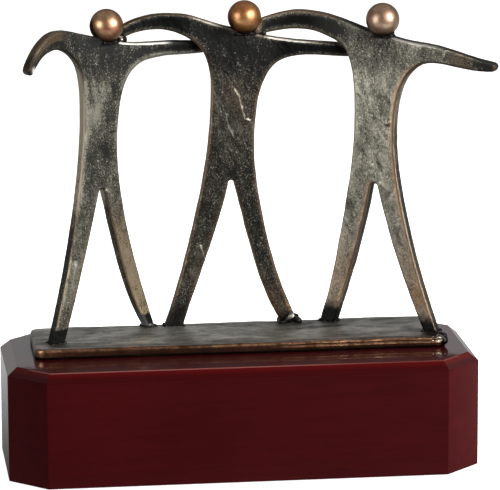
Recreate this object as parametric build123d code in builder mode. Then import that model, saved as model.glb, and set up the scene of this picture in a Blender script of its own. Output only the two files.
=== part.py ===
from build123d import *
import math
import os

os.makedirs("parts", exist_ok=True)

# Trophy with three linked flat figures on a wooden base. Millimetres, +Z up.
# Origin: centre of the underside of the felt pad. The front of the trophy faces -Y.

# wooden base
base_length = 200.0
base_width = 84.4
base_height = 48.9
corner_cut = 15.5
bevel_in = 4.2
bevel_down = 3.5
pad_stands_proud = 0.5
pad_thickness = 1.5
pad_inset = 5.0
pad_side_gap = 0.3
wood_top = pad_stands_proud + base_height

# metal base plate
plate_left = -87.4
plate_right = 88.4
plate_front = -15.4
plate_back = 26.2
plate_thickness = 4.4
plate_corner_radius = 5.0
plate_edge_round = 1.4
plate_top = wood_top + plate_thickness

# flat figures: heights in the figure sketches are measured from the top of the wood
figure_thickness = 4.6
edge_round = 1.1
foot_height = plate_thickness
arm_level = 113.0
crotch_rise = 1.6
tip_round = 1.8
head_radius = 7.15

# screws and washers that hold the plate to the wood
screw_x = (-58.0, 58.0)
screw_y = 5.2
screw_radius = 2.0
screw_length = 40.0
screw_head_radius = 4.0
screw_head_height = 2.6
hex_across_corners = 2.9
hex_depth = 1.6
washer_radius = 4.5
washer_thickness = 0.8
clearance_hole_radius = 2.25
counterbore_radius = 5.6
thread_hole_depth = 3.8
screw_tip = wood_top + thread_hole_depth - 0.3
washer_bottom = screw_tip - screw_length
counterbore_floor = washer_bottom + washer_thickness


def cut_corner_points(length, width, cut):
    """Corners of a rectangle whose four corners are cut off at 45 degrees."""
    x = length / 2
    y = width / 2
    return [
        (-x, -y + cut),
        (-x + cut, -y),
        (x - cut, -y),
        (x, -y + cut),
        (x, y - cut),
        (x - cut, y),
        (-x + cut, y),
        (-x, y - cut),
    ]


def inset_cut(cut, inset):
    """Corner cut of the outline that lies a distance inset inside the given one."""
    return cut - inset * (2 - math.sqrt(2))


# ---------------------------------------------------------------- wood base
with BuildPart() as wood_base:
    with BuildSketch(Plane.XY.offset(pad_stands_proud)):
        Polygon(*cut_corner_points(base_length, base_width, corner_cut), align=None)
    extrude(amount=base_height - bevel_down)
    with BuildSketch(Plane.XY.offset(wood_top - bevel_down)):
        Polygon(*cut_corner_points(base_length, base_width, corner_cut), align=None)
    with BuildSketch(Plane.XY.offset(wood_top)):
        Polygon(
            *cut_corner_points(
                base_length - 2 * bevel_in,
                base_width - 2 * bevel_in,
                inset_cut(corner_cut, bevel_in),
            ),
            align=None,
        )
    loft(ruled=True)
    # shallow recess for the pad
    with BuildSketch(Plane.XY.offset(pad_stands_proud)):
        Polygon(
            *cut_corner_points(
                base_length - 2 * pad_inset,
                base_width - 2 * pad_inset,
                inset_cut(corner_cut, pad_inset),
            ),
            align=None,
        )
    extrude(amount=pad_thickness - pad_stands_proud, mode=Mode.SUBTRACT)
    # holes for the screws that come up from below
    with BuildSketch(Plane.XY):
        with Locations(*[(x, screw_y) for x in screw_x]):
            Circle(counterbore_radius)
    extrude(amount=counterbore_floor, mode=Mode.SUBTRACT)
    with BuildSketch(Plane.XY):
        with Locations(*[(x, screw_y) for x in screw_x]):
            Circle(clearance_hole_radius)
    extrude(amount=wood_top, mode=Mode.SUBTRACT)
wood_base.part.label = "wood_base"
export_step(wood_base.part, "parts/wood_base.step")

# ---------------------------------------------------------------- felt pad
with BuildPart() as felt_pad:
    with BuildSketch(Plane.XY):
        Polygon(
            *cut_corner_points(
                base_length - 2 * pad_inset - 2 * pad_side_gap,
                base_width - 2 * pad_inset - 2 * pad_side_gap,
                inset_cut(corner_cut, pad_inset + pad_side_gap),
            ),
            align=None,
        )
    extrude(amount=pad_thickness)
felt_pad.part.label = "felt_pad"
export_step(felt_pad.part, "parts/felt_pad.step")

# ---------------------------------------------------------------- base plate
with BuildPart() as base_plate:
    with BuildSketch(Plane.XY.offset(wood_top)):
        with BuildLine():
            # the hammered front and back edges wander a little
            front_edge = Spline(
                (plate_left, plate_front - 0.3),
                (-52, plate_front + 0.5),
                (-8, plate_front + 0.1),
                (34, plate_front - 0.4),
                (64, plate_front + 0.3),
                (plate_right, plate_front - 0.7),
            )
            back_edge = Spline(
                (plate_right, plate_back - 0.4),
                (46, plate_back + 0.2),
                (6, plate_back - 0.1),
                (-40, plate_back + 0.2),
                (plate_left, plate_back - 0.2),
            )
            Line(front_edge @ 1, back_edge @ 0)
            Line(back_edge @ 1, front_edge @ 0)
        make_face()
    extrude(amount=plate_thickness)
    fillet(base_plate.edges().filter_by(Axis.Z), radius=plate_corner_radius)
    fillet(base_plate.faces().sort_by(Axis.Z)[-1].edges(), radius=plate_edge_round)
    fillet(base_plate.faces().sort_by(Axis.Z)[0].edges(), radius=plate_edge_round / 2)
    with BuildSketch(Plane.XY.offset(wood_top)):
        with Locations(*[(x, screw_y) for x in screw_x]):
            Circle(screw_radius)
    extrude(amount=thread_hole_depth, mode=Mode.SUBTRACT)
base_plate.part.label = "base_plate"
export_step(base_plate.part, "parts/base_plate.step")

# ---------------------------------------------------------------- figures
# Each figure is a flat outline (u sideways, z up) cut from a strip that is straight at the
# body and bent in plan at the arms. u is measured along the figure's plane from its crotch.


def figure_plane(place, turn):
    """Upright plane of a figure: x runs to its right end, y runs up, z faces the front."""
    along = (math.cos(math.radians(turn)), math.sin(math.radians(turn)), 0)
    front = (math.sin(math.radians(turn)), -math.cos(math.radians(turn)), 0)
    return Plane(origin=(place[0], place[1], wood_top), x_dir=along, z_dir=front)


def plan_plane(place, turn, height):
    """Level plane of a figure: x runs to its right end, y runs to the back."""
    along = (math.cos(math.radians(turn)), math.sin(math.radians(turn)), 0)
    return Plane(origin=(place[0], place[1], wood_top + height), x_dir=along, z_dir=(0, 0, 1))


def arm_side(direction, offset, arm):
    """One face line of a bent arm in plan, from where the bend starts to the tip.

    arm is (start, radius, bend, tip): where the bend starts, its middle radius, how many
    degrees it turns to the front (negative: to the back) and the straight length after it."""
    start, radius, bend, tip = arm
    towards_front = 1 if bend > 0 else -1
    arc = JernArc(
        (direction * start, offset),
        (direction, 0),
        radius + towards_front * offset,
        -direction * bend,
    )
    return Line(arc @ 1, (arc @ 1) + (arc % 1) * tip)


def figure_strip(place, turn, left_arm, right_arm):
    """The strip that a figure is cut from: a flat slab below the arms, bent above."""
    half = figure_thickness / 2
    with BuildPart() as strip:
        with BuildSketch(plan_plane(place, turn, 0)):
            Rectangle(80, figure_thickness)
        extrude(amount=arm_level)
        with BuildSketch(plan_plane(place, turn, arm_level)):
            with BuildLine():
                left_front = arm_side(-1, -half, left_arm)
                left_back = arm_side(-1, half, left_arm)
                right_front = arm_side(1, -half, right_arm)
                right_back = arm_side(1, half, right_arm)
                Line((-left_arm[0], -half), (right_arm[0], -half))
                Line((-left_arm[0], half), (right_arm[0], half))
                Line(left_front @ 1, left_back @ 1)
                Line(right_front @ 1, right_back @ 1)
            make_face()
        extrude(amount=50)
    return strip.part


def figure_outline(left_top, left_under, right_top, right_under, left_leg, right_leg):
    """Front outline of a figure.

    The tops run from neck to arm tip, the unders from arm tip by the armpit to the foot, and
    the legs from foot to crotch on the inside."""
    with BuildSketch() as outline:
        with BuildLine():
            top_left = Spline(*left_top)
            under_left = Spline(*left_under)
            top_right = Spline(*right_top)
            under_right = Spline(*right_under)
            inside_left = Spline(*left_leg)
            inside_right = Spline(*right_leg)
            Line(top_left @ 0, top_right @ 0)
            Line(top_left @ 1, under_left @ 0)
            Line(top_right @ 1, under_right @ 0)
            Line(under_left @ 1, inside_left @ 0)
            Line(under_right @ 1, inside_right @ 0)
            crotch = (inside_left @ 1 + inside_right @ 1) / 2 + Vector(0, crotch_rise)
            ThreePointArc(inside_left @ 1, crotch, inside_right @ 1)
        make_face()
        tips = [v for v in outline.vertices() if v.Y > arm_level and abs(v.X) > 36]
        fillet(tips, radius=tip_round)
    return outline.sketch


def outline_edges(part):
    """The sharp edges where a figure's faces meet its outline, without the foot ends."""
    edges = ShapeList()
    for edge in part.edges():
        middle = edge.position_at(0.5)
        faces = [face for face in part.faces() if any(edge.is_same(e) for e in face.edges())]
        if len(faces) != 2 or middle.Z < plate_top + 0.01:
            continue
        corner = faces[0].normal_at(middle).get_angle(faces[1].normal_at(middle))
        if corner > 60:
            edges.append(edge)
    return edges


# left figure: its right foot is at the back of the plate and its left foot at the front
left_place = (-57.4, 9.7)
left_turn = 32.0
left_arms = ((10.6, 43.0, 24.0, 30.0), (20.0, 41.0, 24.0, 20.0))
left_head_at = (4.8, 137.6)
left_shape = (
    [
        (-1.2, 133.6),
        (-10.0, 135.9),
        (-18.0, 137.9),
        (-27.2, 137.9),
        (-34.4, 135.6),
        (-40.6, 131.4),
        (-46.0, 125.0),
    ],
    [
        (-43.8, 121.8),
        (-40.4, 125.2),
        (-35.6, 128.6),
        (-29.8, 130.4),
        (-23.2, 130.4),
        (-17.0, 128.1),
        (-12.3, 123.6),
        (-9.9, 117.0),
        (-8.8, 103.0),
        (-10.1, 82.0),
        (-14.1, 56.5),
        (-20.1, 30.2),
        (-27.5, foot_height),
    ],
    [(10.9, 130.4), (19.0, 129.2), (32.0, 128.6), (49.8, 127.8)],
    [
        (49.6, 122.9),
        (40.0, 122.5),
        (30.0, 121.9),
        (21.8, 120.3),
        (16.3, 116.7),
        (12.4, 110.6),
        (9.7, 100.0),
        (8.5, 86.0),
        (9.9, 68.0),
        (14.3, 46.0),
        (20.7, 24.0),
        (27.5, foot_height),
    ],
    [(-20.6, foot_height), (-13.1, 27.2), (-5.4, 53.0), (-1.7, 66.6)],
    [(23.3, foot_height), (12.8, 26.0), (5.2, 51.8), (1.3, 66.6)],
)

# middle figure: stands along the back edge of the plate
middle_place = (0.3, 23.1)
middle_turn = 0.0
middle_arms = ((30.0, 46.0, 22.0, 12.0), (42.0, 30.0, 15.0, 12.0))
middle_head_at = (6.3, 138.4)
middle_shape = (
    [
        (-1.0, 134.6),
        (-9.3, 137.1),
        (-17.5, 139.7),
        (-26.4, 140.8),
        (-34.0, 140.4),
        (-41.0, 138.8),
        (-48.6, 135.4),
    ],
    [
        (-47.6, 130.4),
        (-41.5, 132.9),
        (-34.0, 134.0),
        (-26.5, 133.5),
        (-18.6, 130.2),
        (-12.1, 124.6),
        (-8.9, 116.0),
        (-8.4, 102.0),
        (-10.0, 82.0),
        (-14.8, 56.0),
        (-21.6, 28.6),
        (-29.3, foot_height),
    ],
    [(12.6, 131.2), (26.0, 128.6), (40.0, 127.2), (55.0, 125.9)],
    [
        (55.0, 121.2),
        (40.0, 121.2),
        (29.0, 121.4),
        (20.2, 118.7),
        (14.5, 111.2),
        (11.1, 98.0),
        (10.2, 80.0),
        (12.8, 57.0),
        (19.6, 28.2),
        (29.0, foot_height),
    ],
    [(-21.2, foot_height), (-13.2, 28.0), (-5.4, 51.0), (-1.3, 66.3)],
    [(21.6, foot_height), (12.2, 25.5), (4.8, 52.5), (1.3, 66.3)],
)

# right figure: its left foot is at the back of the plate and its right foot at the front
right_place = (61.8, 10.5)
right_turn = -32.0
right_arms = ((11.4, 53.4, 43.4, 3.0), (28.0, 30.0, -20.0, 20.0))
right_head_at = (2.7, 138.0)
right_shape = (
    [
        (-4.5, 134.0),
        (-11.8, 136.2),
        (-18.4, 138.2),
        (-25.6, 139.9),
        (-32.0, 140.8),
        (-38.2, 140.6),
        (-44.0, 139.2),
        (-58.0, 132.8),
    ],
    [
        (-58.0, 128.0),
        (-48.6, 130.6),
        (-42.8, 132.0),
        (-35.6, 132.8),
        (-28.0, 132.0),
        (-21.4, 129.6),
        (-15.4, 126.0),
        (-11.9, 119.6),
        (-10.0, 108.0),
        (-9.8, 92.0),
        (-11.4, 73.0),
        (-15.4, 49.0),
        (-19.9, 26.4),
        (-26.1, foot_height),
    ],
    [
        (8.6, 131.1),
        (19.0, 129.3),
        (29.0, 128.2),
        (41.0, 124.6),
        (53.3, 121.1),
    ],
    [
        (51.6, 117.9),
        (42.5, 118.4),
        (35.0, 119.9),
        (28.0, 120.8),
        (21.0, 119.7),
        (15.2, 114.8),
        (11.2, 106.6),
        (9.2, 93.0),
        (9.7, 77.0),
        (13.0, 58.0),
        (18.4, 36.0),
        (23.8, 19.0),
        (29.2, foot_height),
    ],
    [(-18.6, foot_height), (-11.4, 26.6), (-4.3, 52.6), (-1.6, 65.4)],
    [(22.9, foot_height), (13.2, 27.2), (5.8, 48.8), (1.3, 65.4)],
)


def head_centre(place, turn, head_at):
    """Centre of the ball that sits on a figure's shoulder line."""
    return figure_plane(place, turn).from_local_coords((head_at[0], head_at[1], 0))


left_head_centre = head_centre(left_place, left_turn, left_head_at)
middle_head_centre = head_centre(middle_place, middle_turn, middle_head_at)
right_head_centre = head_centre(right_place, right_turn, right_head_at)

with BuildPart() as left_figure:
    add(figure_strip(left_place, left_turn, *left_arms))
    with BuildSketch(figure_plane(left_place, left_turn)):
        add(figure_outline(*left_shape))
    extrude(amount=60, both=True, mode=Mode.INTERSECT)
    fillet(outline_edges(left_figure.part), radius=edge_round)
    with Locations(left_head_centre):
        Sphere(head_radius, mode=Mode.SUBTRACT)
left_figure.part.label = "left_figure"
export_step(left_figure.part, "parts/left_figure.step")

with BuildPart() as middle_figure:
    add(figure_strip(middle_place, middle_turn, *middle_arms))
    with BuildSketch(figure_plane(middle_place, middle_turn)):
        add(figure_outline(*middle_shape))
    extrude(amount=60, both=True, mode=Mode.INTERSECT)
    fillet(outline_edges(middle_figure.part), radius=edge_round)
    with Locations(middle_head_centre, left_head_centre):
        Sphere(head_radius, mode=Mode.SUBTRACT)
middle_figure.part.label = "middle_figure"
export_step(middle_figure.part, "parts/middle_figure.step")

with BuildPart() as right_figure:
    add(figure_strip(right_place, right_turn, *right_arms))
    with BuildSketch(figure_plane(right_place, right_turn)):
        add(figure_outline(*right_shape))
    extrude(amount=60, both=True, mode=Mode.INTERSECT)
    fillet(outline_edges(right_figure.part), radius=edge_round)
    with Locations(right_head_centre, middle_head_centre):
        Sphere(head_radius, mode=Mode.SUBTRACT)
    # the left arm's tip is fitted to the middle figure's shoulder
    add(middle_figure.part, mode=Mode.SUBTRACT)
right_figure.part.label = "right_figure"
export_step(right_figure.part, "parts/right_figure.step")

# ---------------------------------------------------------------- heads
with BuildPart() as left_head:
    with Locations(left_head_centre):
        Sphere(head_radius)
left_head.part.label = "left_head"
export_step(left_head.part, "parts/left_head.step")

with BuildPart() as middle_head:
    with Locations(middle_head_centre):
        Sphere(head_radius)
middle_head.part.label = "middle_head"
export_step(middle_head.part, "parts/middle_head.step")

with BuildPart() as right_head:
    with Locations(right_head_centre):
        Sphere(head_radius)
right_head.part.label = "right_head"
export_step(right_head.part, "parts/right_head.step")

# ---------------------------------------------------------------- braze and welds
neck_braze_half_length = 6.4
neck_braze_half_depth = 3.9
neck_braze_below = 7.6
neck_braze_height = 3.2
neck_braze_taper = 22.0
foot_weld_height = 1.5
foot_weld_reach = 1.5
foot_weld_round = 1.1
bead_radius = 2.2
corner_run_drops = 5
corner_run_radius = 1.7
corner_run_sunk = 0.4
corner_run_start = (83.4, -6.0)
corner_run_end = (86.0, -14.2)
corner_drop_at = (87.0, -14.0)
corner_drop_radius = 2.2
corner_drop_sunk = 1.6


def neck_braze_blank(place, turn, head_at):
    """Tapered oval lump at the contact of a ball and a shoulder line, before it is cut back."""
    low = head_at[1] - neck_braze_below
    with BuildPart() as blank:
        with BuildSketch(plan_plane(place, turn, low)):
            with Locations((head_at[0], 0)):
                Ellipse(neck_braze_half_length, neck_braze_half_depth)
        extrude(amount=neck_braze_height, taper=neck_braze_taper)
    return blank.part


def foot_weld_blank(place, turn, foot_left, foot_right, back_reach):
    """Rounded pad of weld metal round one foot, before the foot is cut out of it."""
    depth = figure_thickness + foot_weld_reach + back_reach
    middle = (foot_left + foot_right) / 2
    length = foot_right - foot_left + 2 * foot_weld_reach
    with BuildPart() as blank:
        with BuildSketch(plan_plane(place, turn, plate_thickness)):
            with Locations((middle, (back_reach - foot_weld_reach) / 2)):
                RectangleRounded(length, depth, 1.4)
        extrude(amount=foot_weld_height)
        fillet(blank.faces().sort_by(Axis.Z)[-1].edges(), radius=foot_weld_round)
    return blank.part


def corner_run():
    """Drops of weld that ran from the rightmost foot to the plate's front right corner."""
    with BuildPart() as run:
        for index in range(corner_run_drops):
            share = index / (corner_run_drops - 1)
            x = corner_run_start[0] + (corner_run_end[0] - corner_run_start[0]) * share
            y = corner_run_start[1] + (corner_run_end[1] - corner_run_start[1]) * share
            with Locations((x, y, plate_top - corner_run_sunk)):
                Sphere(corner_run_radius)
        with Locations((*corner_drop_at, plate_top - corner_drop_sunk)):
            Sphere(corner_drop_radius)
    return run.part


with BuildPart() as left_neck_braze:
    add(neck_braze_blank(left_place, left_turn, left_head_at))
    add(left_figure.part, mode=Mode.SUBTRACT)
    add(left_head.part, mode=Mode.SUBTRACT)
    add(middle_figure.part, mode=Mode.SUBTRACT)
left_neck_braze.part.label = "left_neck_braze"
export_step(left_neck_braze.part, "parts/left_neck_braze.step")

with BuildPart() as middle_neck_braze:
    add(neck_braze_blank(middle_place, middle_turn, middle_head_at))
    add(middle_figure.part, mode=Mode.SUBTRACT)
    add(middle_head.part, mode=Mode.SUBTRACT)
    add(right_figure.part, mode=Mode.SUBTRACT)
middle_neck_braze.part.label = "middle_neck_braze"
export_step(middle_neck_braze.part, "parts/middle_neck_braze.step")

with BuildPart() as right_neck_braze:
    add(neck_braze_blank(right_place, right_turn, right_head_at))
    add(right_figure.part, mode=Mode.SUBTRACT)
    add(right_head.part, mode=Mode.SUBTRACT)
right_neck_braze.part.label = "right_neck_braze"
export_step(right_neck_braze.part, "parts/right_neck_braze.step")

# feet: where each one starts and ends along its figure, left foot first
left_feet = ((-27.5, -20.6), (23.3, 27.5))
middle_feet = ((-29.3, -21.2), (21.6, 29.0))
right_feet = ((-26.1, -18.6), (23.0, 29.2))

with BuildPart() as left_figure_left_foot_weld:
    add(foot_weld_blank(left_place, left_turn, *left_feet[0], foot_weld_reach))
    add(left_figure.part, mode=Mode.SUBTRACT)
left_figure_left_foot_weld.part.label = "left_figure_left_foot_weld"
export_step(left_figure_left_foot_weld.part, "parts/left_figure_left_foot_weld.step")

with BuildPart() as left_figure_right_foot_weld:
    add(foot_weld_blank(left_place, left_turn, *left_feet[1], 0.2))
    add(left_figure.part, mode=Mode.SUBTRACT)
left_figure_right_foot_weld.part.label = "left_figure_right_foot_weld"
export_step(left_figure_right_foot_weld.part, "parts/left_figure_right_foot_weld.step")

with BuildPart() as middle_figure_left_foot_weld:
    add(foot_weld_blank(middle_place, middle_turn, *middle_feet[0], 0.2))
    add(middle_figure.part, mode=Mode.SUBTRACT)
middle_figure_left_foot_weld.part.label = "middle_figure_left_foot_weld"
export_step(middle_figure_left_foot_weld.part, "parts/middle_figure_left_foot_weld.step")

with BuildPart() as middle_figure_right_foot_weld:
    add(foot_weld_blank(middle_place, middle_turn, *middle_feet[1], 0.2))
    add(middle_figure.part, mode=Mode.SUBTRACT)
middle_figure_right_foot_weld.part.label = "middle_figure_right_foot_weld"
export_step(middle_figure_right_foot_weld.part, "parts/middle_figure_right_foot_weld.step")

with BuildPart() as right_figure_left_foot_weld:
    add(foot_weld_blank(right_place, right_turn, *right_feet[0], 0.2))
    add(right_figure.part, mode=Mode.SUBTRACT)
right_figure_left_foot_weld.part.label = "right_figure_left_foot_weld"
export_step(right_figure_left_foot_weld.part, "parts/right_figure_left_foot_weld.step")

with BuildPart() as right_figure_right_foot_weld:
    add(foot_weld_blank(right_place, right_turn, *right_feet[1], foot_weld_reach))
    add(corner_run())
    add(right_figure.part, mode=Mode.SUBTRACT)
    add(base_plate.part, mode=Mode.SUBTRACT)
right_figure_right_foot_weld.part.label = "right_figure_right_foot_weld"
export_step(right_figure_right_foot_weld.part, "parts/right_figure_right_foot_weld.step")

# beads where one figure's arm meets its neighbour
with BuildPart() as left_shoulder_weld:
    with Locations((-46.6, 16.6, wood_top + 130.9)):
        Sphere(bead_radius)
    add(left_figure.part, mode=Mode.SUBTRACT)
    add(middle_figure.part, mode=Mode.SUBTRACT)
    add(left_head.part, mode=Mode.SUBTRACT)
    add(left_neck_braze.part, mode=Mode.SUBTRACT)
left_shoulder_weld.part.label = "left_shoulder_weld"
export_step(left_shoulder_weld.part, "parts/left_shoulder_weld.step")

with BuildPart() as middle_shoulder_weld:
    with Locations((14.6, 22.0, wood_top + 131.6)):
        Sphere(bead_radius)
    add(middle_figure.part, mode=Mode.SUBTRACT)
    add(right_figure.part, mode=Mode.SUBTRACT)
    add(middle_head.part, mode=Mode.SUBTRACT)
    add(middle_neck_braze.part, mode=Mode.SUBTRACT)
middle_shoulder_weld.part.label = "middle_shoulder_weld"
export_step(middle_shoulder_weld.part, "parts/middle_shoulder_weld.step")

with BuildPart() as left_arm_weld:
    with Locations((-13.0, 26.6, wood_top + 129.4)):
        Sphere(bead_radius)
    add(left_figure.part, mode=Mode.SUBTRACT)
    add(middle_figure.part, mode=Mode.SUBTRACT)
left_arm_weld.part.label = "left_arm_weld"
export_step(left_arm_weld.part, "parts/left_arm_weld.step")

with BuildPart() as middle_arm_weld:
    with Locations((51.6, 20.6, wood_top + 127.2)):
        Sphere(bead_radius)
    add(middle_figure.part, mode=Mode.SUBTRACT)
    add(right_figure.part, mode=Mode.SUBTRACT)
middle_arm_weld.part.label = "middle_arm_weld"
export_step(middle_arm_weld.part, "parts/middle_arm_weld.step")

# ---------------------------------------------------------------- screws and washers
with BuildPart() as plate_screws:
    with BuildSketch(Plane.XY.offset(washer_bottom - screw_head_height)):
        with Locations(*[(x, screw_y) for x in screw_x]):
            Circle(screw_head_radius)
    extrude(amount=screw_head_height)
    fillet(plate_screws.faces().filter_by(Axis.Z).group_by(Axis.Z)[0].edges(), radius=0.9)
    with BuildSketch(Plane.XY.offset(washer_bottom)):
        with Locations(*[(x, screw_y) for x in screw_x]):
            Circle(screw_radius)
    extrude(amount=screw_length)
    chamfer(plate_screws.faces().filter_by(Axis.Z).group_by(Axis.Z)[-1].edges(), length=0.5)
    # hexagon socket in each head
    with BuildSketch(Plane.XY.offset(washer_bottom - screw_head_height)):
        with Locations(*[(x, screw_y) for x in screw_x]):
            RegularPolygon(hex_across_corners / 2, 6)
    extrude(amount=hex_depth, mode=Mode.SUBTRACT)
plate_screws.part.label = "plate_screws"
export_step(plate_screws.part, "parts/plate_screws.step")

with BuildPart() as screw_washers:
    with BuildSketch(Plane.XY.offset(washer_bottom)):
        with Locations(*[(x, screw_y) for x in screw_x]):
            Circle(washer_radius)
            Circle(clearance_hole_radius, mode=Mode.SUBTRACT)
    extrude(amount=washer_thickness)
screw_washers.part.label = "screw_washers"
export_step(screw_washers.part, "parts/screw_washers.step")
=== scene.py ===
import math
from types import SimpleNamespace

import bmesh
import bpy
import numpy as np
from mathutils import Matrix, Vector
from mathutils.kdtree import KDTree


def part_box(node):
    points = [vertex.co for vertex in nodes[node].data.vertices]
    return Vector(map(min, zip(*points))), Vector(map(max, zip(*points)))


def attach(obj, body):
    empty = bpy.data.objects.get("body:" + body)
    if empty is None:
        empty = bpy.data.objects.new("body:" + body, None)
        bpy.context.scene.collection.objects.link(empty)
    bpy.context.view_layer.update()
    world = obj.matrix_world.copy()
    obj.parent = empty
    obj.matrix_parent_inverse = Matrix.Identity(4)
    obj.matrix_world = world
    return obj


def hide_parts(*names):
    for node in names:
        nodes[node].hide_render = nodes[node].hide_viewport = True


# Figure trophy: three linked sheet-metal figures on a hand-forged plate and a lacquered
# wooden base. Lengths in the metal pieces are worked out in millimetres and stored in metres.

MM = 0.001

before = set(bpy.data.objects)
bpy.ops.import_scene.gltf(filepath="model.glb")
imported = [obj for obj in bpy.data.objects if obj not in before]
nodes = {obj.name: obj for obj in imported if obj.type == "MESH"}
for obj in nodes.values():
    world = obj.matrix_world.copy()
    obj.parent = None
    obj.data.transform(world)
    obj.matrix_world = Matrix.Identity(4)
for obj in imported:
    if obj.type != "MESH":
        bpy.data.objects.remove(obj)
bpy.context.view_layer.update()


def box_of(node):
    """Low and high corner of a CAD node in millimetres."""
    return [np.round(np.array(corner) / MM, 4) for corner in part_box(node)]


WOOD_TOP = box_of("wood_base")[1][2]
PLATE_TOP = box_of("base_plate")[1][2]
SHEET_HALF = 2.3
ARM_LEVEL = 105
FINE_FACES = 0.36
BEAD_FACES = 0.16

# Where each figure stands, which way it is turned and how its arms bend in plan, as in the
# CAD: (bend start, bend radius, degrees to the front) for the left and the right arm.
FIGURES = {
    "left_figure": {"place": (-57.4, 9.7), "turn": 32.0, "arms": ((10.6, 43, 24), (20, 41, 24))},
    "middle_figure": {"place": (0.3, 23.1), "turn": 0.0, "arms": ((30, 46, 22), (42, 30, 15))},
    "right_figure": {
        "place": (61.8, 10.5),
        "turn": -32.0,
        "arms": ((11.4, 53.4, 43.4), (28, 30, -20)),
    },
}


# ---------------- numbers and noise
def smooth(low, high, value):
    """0 below low, 1 above high and a smooth step between (falls instead when low > high)."""
    share = np.clip((value - low) / (high - low), 0, 1)
    return share * share * (3 - 2 * share)


def lattice_noise(points, seed):
    """Gradient noise, about -1 to 1, one cell per unit of length, at an array of points."""
    cell = np.floor(points).astype(np.int64)
    inside = points - cell
    ease = inside**3 * (inside * (inside * 6 - 15) + 10)
    total = np.zeros(len(points))
    for corner in np.ndindex(2, 2, 2):
        where = cell + corner
        mixed = where[:, 0] * 73856093 ^ where[:, 1] * 19349663 ^ where[:, 2] * 83492791
        mixed = (mixed + seed * 2654435761) & 0xFFFFFFFF
        mixed = ((mixed ^ (mixed >> 15)) * 2246822519) & 0xFFFFFFFF
        mixed = ((mixed ^ (mixed >> 13)) * 3266489917) & 0xFFFFFFFF
        gradient = np.stack([(mixed >> shift) & 1023 for shift in (2, 12, 22)], 1) / 511.5 - 1
        share = np.prod(np.where(np.array(corner) == 1, ease, 1 - ease), axis=1)
        total += share * np.sum(gradient * (inside - corner), axis=1)
    return total * 1.3


def layered_noise(points, cell_size, seed, layers=3):
    """Several layers of noise, each half the size and half the height of the one before."""
    total = np.zeros(len(points))
    for layer in range(layers):
        scale = 2**layer / np.array(cell_size)
        total += lattice_noise(points * scale + 7.3 * layer, seed + layer) / 2**layer
    return total


def ridges(points, cell_size, seed):
    """Thin creases, 0 to 1, where a noise field crosses zero."""
    return np.clip(1 - 4 * np.abs(layered_noise(points, cell_size, seed, 2)), 0, 1) ** 2


# ---------------- mesh helpers
def in_scene(name, data):
    """A new object in the scene for a mesh, a light or a camera."""
    made = bpy.data.objects.new(name, data)
    bpy.context.scene.collection.objects.link(made)
    return made


def mesh_from(work, name):
    """A mesh made from a bmesh, which is freed."""
    mesh = bpy.data.meshes.new(name)
    work.to_mesh(mesh)
    work.free()
    return mesh


def add_ball(work, centre, radius, subdivisions):
    """Adds a ball to a bmesh, from its centre and radius in millimetres."""
    place = Matrix.Translation(Vector(centre) * MM)
    bmesh.ops.create_icosphere(work, subdivisions=subdivisions, radius=radius * MM, matrix=place)


def new_piece(name, mesh, node):
    """A piece in place of a CAD node, for a mesh in the frame, on the one rigid body."""
    piece = in_scene(name, mesh)
    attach(piece, "root")
    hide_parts(node)
    return piece


def even_copy(mesh, name, voxel):
    """The closed surface of a mesh made of small, even faces. Voxel size in millimetres."""
    carrier = in_scene(name, mesh)
    remesh = carrier.modifiers.new("remesh", "REMESH")
    remesh.mode = "VOXEL"
    remesh.voxel_size = voxel * MM
    remesh.use_smooth_shade = True
    graph = bpy.context.evaluated_depsgraph_get()
    fine = bpy.data.meshes.new_from_object(carrier.evaluated_get(graph))
    fine.name = name
    fine.materials.clear()
    bpy.data.objects.remove(carrier)
    return fine


def remeshed(node, name, voxel):
    """A fine, even copy of a CAD node to shape further. Voxel size in millimetres."""
    work = bmesh.new()
    work.from_mesh(nodes[node].data)
    bmesh.ops.remove_doubles(work, verts=work.verts, dist=1e-6)
    return new_piece(name, even_copy(mesh_from(work, name), name, voxel), node)


def points_of(mesh):
    """Vertex positions of a mesh, in millimetres."""
    flat = np.zeros(len(mesh.vertices) * 3, np.float32)
    mesh.vertices.foreach_get("co", flat)
    return flat.reshape(-1, 3).astype(float) / MM


def normals_of(mesh):
    """Vertex normals of a mesh."""
    flat = np.zeros(len(mesh.vertices) * 3, np.float32)
    mesh.vertices.foreach_get("normal", flat)
    return flat.reshape(-1, 3).astype(float)


def set_points(mesh, points):
    """Moves the vertices of a mesh to points in millimetres."""
    mesh.vertices.foreach_set("co", (points * MM).astype(np.float32).ravel())
    mesh.update()


def swell(mesh, distance):
    """Moves every vertex of a mesh outwards by its own distance in millimetres."""
    set_points(mesh, points_of(mesh) + normals_of(mesh) * distance[:, None])


def store(mesh, **fields):
    """Keeps one number or one vector per vertex under each name for the materials to read."""
    for name, values in fields.items():
        kind, part = ("FLOAT", "value") if values.ndim == 1 else ("FLOAT_VECTOR", "vector")
        layer = mesh.attributes.new(name, kind, "POINT")
        layer.data.foreach_set(part, values.astype(np.float32).ravel())


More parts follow.
